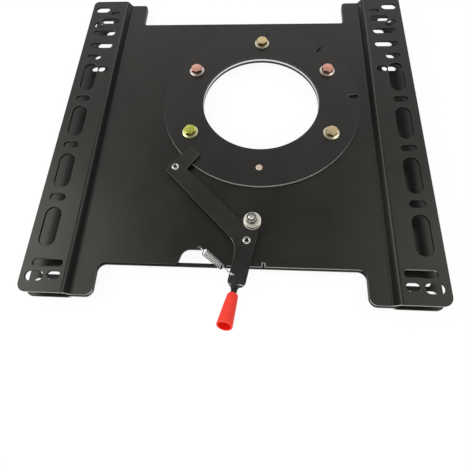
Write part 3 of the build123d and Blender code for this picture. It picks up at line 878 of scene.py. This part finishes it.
# %% [markdown]
# ## Pivot stack
# Over the lever's eye lie a washer, a fibre friction disc, a second washer, a split lock
# washer and a nut. Washers are tumbled in a barrel while they are plated, which rounds
# the edges that blanking left sharp, so each is turned with a radius at its foot and on
# top. The friction disc is a little smaller, which leaves the dark groove seen between
# the two bright washers. All three have slipped to one side on the stud, nearly as far
# as their holes allow.

# %% Washers
WASHER_BORE = 4.25
LOOSE = mm(1.0, -0.65)      # how far the washers have slipped on the stud


def washer(node, radius, rounding, material, slot):
    """Turns a washer as thick as its CAD node, with rounded edges."""
    low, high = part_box(node)
    height = (high[2] - low[2]) / MM
    shoulder, brow = radius - rounding, radius - 0.3 * rounding
    profile = [(WASHER_BORE, 0.0), (shoulder, 0.0), (brow, 0.3 * rounding), (radius, rounding),
               (radius, height - rounding), (brow, height - 0.3 * rounding), (shoulder, height),
               (WASHER_BORE + 0.15, height), (WASHER_BORE, height - 0.15), (WASHER_BORE, 0.0)]
    disc = turned(node + "_turned", profile, sides=64)
    put(disc, Matrix.Translation(Vector((pivot.x, pivot.y, low[2])) + LOOSE))
    dress(disc, "upper", slot, material)
    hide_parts(node)
    print(disc.name, round(height, 2), "mm thick")


washer("pivot_washer_lower", 9.5, 0.75, clear_zinc, "bright_zinc")
washer("friction_washer", 9.0, 0.5, fibre, "nylon")
washer("pivot_washer_upper", 9.3, 0.5, clear_zinc, "bright_zinc")
softened("lock_washer", 0.12, "upper", "bright_zinc", dark_steel)

# %% [markdown]
# The nut is the same forged hexagon as a bolt's head, coned at both ends, and a boolean
# with a turned drill opens its bore. It stands as it was tightened, with its corners out
# of line with the plates.

# %% Nut
nut_foot, nut_head = (corner[2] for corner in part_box("pivot_nut"))
nut = hexagon_block("pivot_nut_forged", 10.0, (nut_head - nut_foot) / MM, both_ends=True)
drill_profile = [(POLE, -1.0), (3.4, -1.0), (3.4, 0.0), (3.0, 0.4), (3.0, 4.6), (3.4, 5.0), (3.4, 6.0),
                 (POLE, 6.0)]
drill_bit = turned("nut_bore", drill_profile)
drill = nut.modifiers.new("drill", "BOOLEAN")
drill.object = drill_bit
drill.solver = "EXACT"
apply_all(nut)
bpy.ops.object.shade_smooth_by_angle(angle=radians(25))
bpy.data.objects.remove(drill_bit)
NUT_TURN = 42
put(nut, Matrix.Translation((pivot.x, pivot.y, nut_foot)) @ Matrix.Rotation(radians(NUT_TURN), 4, "Z"))
# The nut's darker zinc is a painted shade.
dress(nut, "upper", "bright_zinc", nut_shade_zinc)
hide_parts("pivot_nut")
print("nut", len(nut.data.polygons), "faces")

# %% [markdown]
# ## Stud
# The stud is M6, so its thread climbs 1 mm a turn. The Screw modifier winds a small
# triangle round the axis for that, and a turned core with a coned tip carries it.

# %% Threaded stud
THREAD_PITCH, THREAD_TURNS = 1.0, 7
stud_foot, stud_tip = (corner[2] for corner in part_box("pivot_stud"))
stud_length = (stud_tip - stud_foot) / MM
stud_profile = [(POLE, 0.0), (2.95, 0.0), (2.95, stud_length - 8.0), (2.65, stud_length - 7.5),
                (2.6, stud_length - 1.2), (1.8, stud_length), (POLE, stud_length)]
stud = turned("pivot_stud_core", stud_profile, sides=40)
thread_foot = stud_length - THREAD_TURNS * THREAD_PITCH - 0.7
bpy.ops.object.select_all(action="DESELECT")
bpy.ops.mesh.primitive_circle_add(vertices=3, radius=0.42 * MM, rotation=(radians(90), radians(90), 0),
                                  location=mm(2.62, 0, thread_foot), fill_type="NGON")
thread = bpy.context.object
bpy.ops.object.transform_apply(location=True, rotation=True, scale=True)
wind = thread.modifiers.new("wind thread", "SCREW")
wind.axis = "Z"
wind.angle = 2 * pi * THREAD_TURNS
wind.screw_offset = THREAD_TURNS * THREAD_PITCH * MM
wind.steps = wind.render_steps = 24 * THREAD_TURNS
apply_all(thread)
only(stud)
thread.select_set(True)
bpy.ops.object.join()
bpy.ops.object.shade_smooth_by_angle(angle=radians(40))
put(stud, Matrix.Translation((pivot.x, pivot.y, stud_foot)))
dress(stud, "upper", "bright_zinc", stud_zinc)
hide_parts("pivot_stud")
print("stud", len(stud.data.polygons), "faces")

# %% [markdown]
# ## Return spring
# An extension spring is one wire: a hook, close coils, a hook. It could be turned with
# the Screw modifier, but a NURBS path is the natural thing for a bent wire, since its
# section stays round through every bend and the hooks are part of the same line. The
# coils run from the plate to the lever and climb a little on the way. A curve cuts
# inside its control points, so the points of the helix lie outside the wire's own
# radius by just as much.

# %% Wind the coils
COIL_TURNS, COIL_POINTS = 12, 12        # turns, and control points in each
COIL_RADIUS = 3.2 * MM
point_radius = COIL_RADIUS * 3 / (2 + cos(2 * pi / COIL_POINTS))
coil_start, coil_end = mm(-27.2, -164.0, 14.3), mm(-6.2, -180.9, 17.4)
along = coil_end - coil_start
forward = along.normalized()
side = forward.cross(Vector((0, 0, 1))).normalized()
up = side.cross(forward)
coils = []
for step in range(COIL_TURNS * COIL_POINTS + 1):
    angle = 2 * pi * step / COIL_POINTS
    centre = coil_start + along * (step / (COIL_TURNS * COIL_POINTS))
    coils.append(centre + point_radius * (up * cos(angle) + side * sin(angle)))
print("coils", round(along.length / MM, 1), "mm long,", COIL_TURNS, "turns")

# %% [markdown]
# The near hook drops into a hole in the plate, and the far hook goes over the lever's
# edge into a hole there. The wire is drawn a little thicker along the hooks, and its two
# ends swell until they fill their holes. Below the holes' rims they are painted dark, a
# painted shade, so that from above each hole shows as a dark spot. The helper takes a
# swelling for each control point, which the weld beads use as well.

# %% Bend the wire
def wire(name, points, thickness, swell):
    """Bends a round wire along control points, with a pattern of swellings."""
    bpy.ops.object.select_all(action="DESELECT")
    bpy.ops.curve.primitive_nurbs_path_add(radius=1.0, location=(0, 0, 0))
    path = bpy.context.object
    path.name = name
    spline = path.data.splines[0]
    spline.points.add(len(points) - len(spline.points))
    for number, (point, place) in enumerate(zip(spline.points, points)):
        point.co = (*place, 1.0)
        point.radius = swell[number % len(swell)]
    spline.order_u = 4
    spline.use_endpoint_u = True
    spline.resolution_u = 3
    path.data.bevel_depth = thickness / 2
    path.data.bevel_resolution = 2
    path.data.use_fill_caps = True
    bpy.ops.object.convert(target="MESH")
    bpy.ops.object.shade_smooth()
    return bpy.context.object


near_hook = [mm(-33.6, -157.5, 10.2), mm(-33.6, -157.5, 11.2), mm(-33.8, -157.4, 12.2),
             mm(-33.4, -157.7, 13.3), mm(-32.2, -158.8, 14.4), mm(-30.6, -160.4, 15.8),
             mm(-28.9, -162.1, 16.8)]
far_hook = [mm(-4.8, -182.2, 20.2), mm(-2.4, -184.1, 20.4), mm(0.0, -186.0, 20.5), mm(2.0, -187.5, 20.4),
            mm(3.6, -188.5, 19.9), mm(4.5, -189.1, 18.9), mm(4.3, -189.0, 17.8), mm(4.0, -188.8, 16.8)]
near_swell = [2.7, 2.4, 1.0, 1.2, 1.3, 1.3, 1.1]
far_swell = [1.2, 1.5, 1.6, 1.6, 1.6, 1.6, 2.2, 2.6]
spring = wire("return_spring_wire", near_hook + coils + far_hook, 1.1 * MM,
              swell=near_swell + [1.0] * len(coils) + far_swell)
print("spring", len(spring.data.polygons), "faces")

# %% [markdown]
# Painted shade lies on the underside of the coils and most of all on the first one. Each
# point of the wire gets its share from how low it lies in the coil. The hooks have none
# above the two holes' rims and are fully shaded below them. The spring lies between the
# plate and the lever: its first part at one, its last part at the other, and the coils
# evenly spaced between them.

# %% Paint shade on the spring and hang it
COIL_SHADE_BEFORE, COIL_SHADE_AFTER = 2.4 * MM, 1.3 * MM    # how far the painted shade passes the coils
FIRST_COIL = 1.6 * MM
PLATE_HOLE, LEVER_HOLE = 11.9 * MM, 18.4 * MM       # heights of the holes' rims
coil_shade = spring.data.attributes.new("coil_shade", "FLOAT", "POINT")
for number, vertex in enumerate(spring.data.vertices):
    reach = (vertex.co - coil_start).dot(forward)
    lift = (vertex.co - coil_start).dot(up)
    if -COIL_SHADE_BEFORE < reach < along.length + COIL_SHADE_AFTER:
        least = 0.45 if reach < FIRST_COIL else 0.12
        coil_shade.data[number].value = min(1.0, max(least, 0.62 - lift / point_radius))
    else:
        rim_height = PLATE_HOLE if reach < 0 else LEVER_HOLE
        coil_shade.data[number].value = 1.0 if vertex.co.z < rim_height else 0.0
spring.data.materials.clear()
spring.data.materials.append(spring_wire)
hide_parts("return_spring")
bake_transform(spring)
print("spring hung between the plate and the lever")

# %% [markdown]
# ## Weld beads
# The rod's end lies in a slot of the lever and is welded along its sides and round its
# end. A hand-laid bead is a row of dabs, so the wire helper runs along the joint with
# every other point swollen.
# It was coated with the lever. Two more short beads tack the lever's end to the rod, and
# those were brushed bare; their bright steel also paints the highlights there.

# %% Lay the beads
BEAD_LEFT, BEAD_RIGHT, BEAD_STEP = 3.6, 10.4, 1.1
bead_top = lever_top / MM - 0.25
joint = [mm(BEAD_LEFT, -203.5 + BEAD_STEP * n, bead_top) for n in range(8)]
joint += [mm(4.5, -195.2, bead_top), mm(5.8, -194.6, bead_top), mm(7.0, -194.4, bead_top),
          mm(8.2, -194.6, bead_top), mm(9.5, -195.2, bead_top)]
joint += [mm(BEAD_RIGHT, -195.8 - BEAD_STEP * n, bead_top) for n in range(8)]
bead = wire("weld_bead", joint, 1.4 * MM, swell=(1.15, 0.8))
dress(bead, "lever", "black_coat", lever_coat)
tack_top = bead_top + 0.1
tacks = {"left_tack": [mm(0.6 + 0.8 * n, -198.2 - 0.25 * n, tack_top) for n in range(5)],
         "right_tack": [mm(9.8 + 0.8 * n, -199.0 - 0.12 * n, tack_top) for n in range(9)]}
for name, run in tacks.items():
    tack = wire(name, run, 1.1 * MM, swell=(1.2, 0.7))
    dress(tack, "lever", "black_coat", bright_steel_highlight)
print("beads laid:", 1 + len(tacks))

# %% [markdown]
# ## Punched mark
# A narrow notch in the web's near edge marks the locked place. The punch tears the coat
# and leaves a burr along both sides, drawn in bright steel as two short lines, which paints
# the highlights on the notch's edges. A bent wire sunk half into the web is enough for a
# burr of this size.

# %% Raise the burrs
BURR_SIDE = 1.54                        # from the notch's middle to a burr
web_top = ring_top / MM - 3.4
for side_name, edge_x in (("left", MARK_MIDDLE - BURR_SIDE), ("right", MARK_MIDDLE + BURR_SIDE)):
    run = [mm(edge_x, WEB_END + 0.4 + 0.9 * n, web_top) for n in range(6)]
    burr = wire(f"mark_burr_{side_name}", run, 0.8 * MM, swell=(1.1, 0.8))
    dress(burr, "upper", "black_coat", bright_steel_highlight)
print("burrs raised", round(2 * BURR_SIDE, 1), "mm apart")

# %% [markdown]
# The weld nuts, glide rings and pads stay the CAD's own solids. They show only from
# below or through a gap, so they keep their mesh and get a finish.

# %% Finish the plain CAD nodes
def finish_nodes(material, *nodes):
    """Puts a material in every slot of the CAD nodes."""
    for node in nodes:
        solid = frame["nodes"][node]
        if not solid.material_slots:
            solid.data.materials.append(material)
        for slot in solid.material_slots:
            slot.material = material
    print(material.name, "on", ", ".join(nodes))


finish_nodes(straw_zinc, *[f"weld_nut_{number}" for number in range(1, 6)])
finish_nodes(turned_steel, "spacer_ring")
finish_nodes(plate_coat, "lock_tooth")
finish_nodes(acetal, "lower_glide_ring", "upper_glide_ring")
finish_nodes(nylon, "head_pad", "arm_pad")
finish_nodes(bronze, "pivot_bush")

# %% [markdown]
# ## Camera and light
# The camera stands in front of the lever, 68 degrees up, close to the base, so that
# the near rails look wider than the far ones. Its place was found by fitting the plates'
# corners to a photograph, and that is why the numbers aren't round.

# %% Camera
camera_data = bpy.data.cameras.new("camera")
camera_data.sensor_width = 36.0
camera_data.lens = 26.53
camera = bpy.data.objects.new("camera", camera_data)
bpy.context.scene.collection.objects.link(camera)
camera.location = mm(26.545, -279.489, 363.257)
camera.rotation_euler = (radians(21.420), radians(2.580), radians(2.592))
bpy.context.scene.camera = camera
print("camera", round(camera.location.z / MM), "mm over the floor")

# %% [markdown]
# The world is a white tent with a dim roof and a dark skirt: satin black shows what is
# above it, and here the webs mirror a dark ceiling while the rails catch the walls.
# World and lamps add up to a plain level, at which a colour comes out about as it is
# written. To the camera the world is pure white, through Light Path, which adds no light
# to the base.

# %% World
scene = bpy.context.scene
scene.view_settings.view_transform = "Standard"
WALL_LIGHT, ROOF_LIGHT = 0.85, 0.22
SKIRT_LIGHT = 0.25                     # dark strip where the tent meets the floor
SKIRT_START, SKIRT_END = 0.12, 0.42    # heights on a sphere of one, 7 and 25 degrees up
ROOF_START, ROOF_END = 0.5, 0.97       # 30 and 76 degrees up
world = bpy.data.worlds.new("white_tent")
scene.world = world
world.use_nodes = True
sky = world.node_tree
sky.nodes.clear()
direction = add(sky, "ShaderNodeSeparateXYZ", {"Vector": add(sky, "ShaderNodeTexCoord").outputs["Generated"]})
roof = add(sky, "ShaderNodeMapRange", {
    "Value": direction.outputs["Z"], "From Min": ROOF_START, "From Max": ROOF_END,
    "To Min": WALL_LIGHT, "To Max": ROOF_LIGHT}, interpolation_type="SMOOTHSTEP")
skirt = add(sky, "ShaderNodeMapRange", {
    "Value": direction.outputs["Z"], "From Min": SKIRT_START, "From Max": SKIRT_END,
    "To Min": SKIRT_LIGHT, "To Max": 1.0}, interpolation_type="SMOOTHSTEP")
level = add(sky, "ShaderNodeMath", {0: roof.outputs[0], 1: skirt.outputs[0]}, operation="MULTIPLY")
path = add(sky, "ShaderNodeLightPath")
tent = add(sky, "ShaderNodeBackground", {"Color": linear("#FFFFFF"), "Strength": level.outputs[0]})
white = add(sky, "ShaderNodeBackground", {"Color": linear("#FFFFFF"), "Strength": 1.0})
either = add(sky, "ShaderNodeMixShader", {
    "Fac": path.outputs["Is Camera Ray"], 1: tent.outputs[0], 2: white.outputs[0]})
add(sky, "ShaderNodeOutputWorld", {"Surface": either.outputs[0]})
print("tent walls", WALL_LIGHT, "roof", ROOF_LIGHT)

# %% [markdown]
# Three soft boxes light the base: a strong warm one on the left, a weaker one on the
# right that catches the right rail, and one in front for the near edges. The grip's top
# is lit more strongly than anything beside it, so a narrow spot from high up on the left
# falls on the grip alone.

# %% Lamps
WARM = (1.0, 0.975, 0.91)


def hang(name, data, place, target=(0, 0, 0)):
    """Hangs a lamp at a place and turns it towards a target."""
    lamp = bpy.data.objects.new(name, data)
    scene.collection.objects.link(lamp)
    lamp.location = place
    lamp.rotation_euler = (Vector(target) - Vector(place)).to_track_quat("-Z", "Y").to_euler()


def softbox(name, place, size, brightness, tint=(1.0, 1.0, 1.0)):
    """A rectangular lamp aimed at the base. Brightness 1 looks as bright as white paper."""
    data = bpy.data.lights.new(name, "AREA")
    data.shape = "RECTANGLE"
    data.size, data.size_y = size
    data.energy = brightness * pi * size[0] * size[1]
    data.color = tint
    hang(name, data, place)


softbox("left_softbox", (-1.6, 0.2, 1.3), (1.3, 1.6), 2.4, tint=WARM)
softbox("right_softbox", (1.2, 0.2, 1.6), (1.1, 0.8), 1.6, tint=WARM)
softbox("front_softbox", (0.2, -1.9, 1.2), (2.0, 1.0), 1.8)
spot_data = bpy.data.lights.new("grip_spot", "SPOT")
spot_data.energy = 31.0
spot_data.spot_size = radians(3.6)
spot_data.spot_blend = 0.5
spot_data.shadow_soft_size = 0.05
hang("grip_spot", spot_data, (-0.28, -0.32, 1.2), target=mm(1, -238, 26))
print("lamps hung:", len(bpy.data.lights))

# %% [markdown]
# The floor is plain white paper. Seen by the camera, or in a reflection, it is nearly
# all glow, which keeps it white, and a small share of real paper, which keeps the base's
# shadow.

# %% Floor
GLOW_SHARE = 0.9
bpy.ops.object.select_all(action="DESELECT")
bpy.ops.mesh.primitive_plane_add(size=8.0, location=(0, 0, 0))
floor = bpy.context.object
floor.name = "floor"
paper, fibres, plain = finish_named("white_paper")
plain.inputs["Base Color"].default_value = linear("#F4F4F4")
plain.inputs["Roughness"].default_value = 0.9
glow = add(fibres, "ShaderNodeEmission", {"Color": linear("#FFFFFF"), "Strength": 1.03})
ray = add(fibres, "ShaderNodeLightPath").outputs
seen = add(fibres, "ShaderNodeMath", {0: ray["Is Camera Ray"], 1: ray["Is Glossy Ray"]}, operation="MAXIMUM")
through = add(fibres, "ShaderNodeMath", {0: seen.outputs[0], 1: ray["Is Transmission Ray"]},
              operation="MAXIMUM")
share = add(fibres, "ShaderNodeMath", {0: through.outputs[0], 1: GLOW_SHARE}, operation="MULTIPLY")
sheet = add(fibres, "ShaderNodeMixShader", {"Fac": share.outputs[0], 1: plain.outputs[0], 2: glow.outputs[0]})
fibres.links.new(sheet.outputs[0], fibres.nodes["Material Output"].inputs["Surface"])
floor.data.materials.append(paper)
print("floor laid")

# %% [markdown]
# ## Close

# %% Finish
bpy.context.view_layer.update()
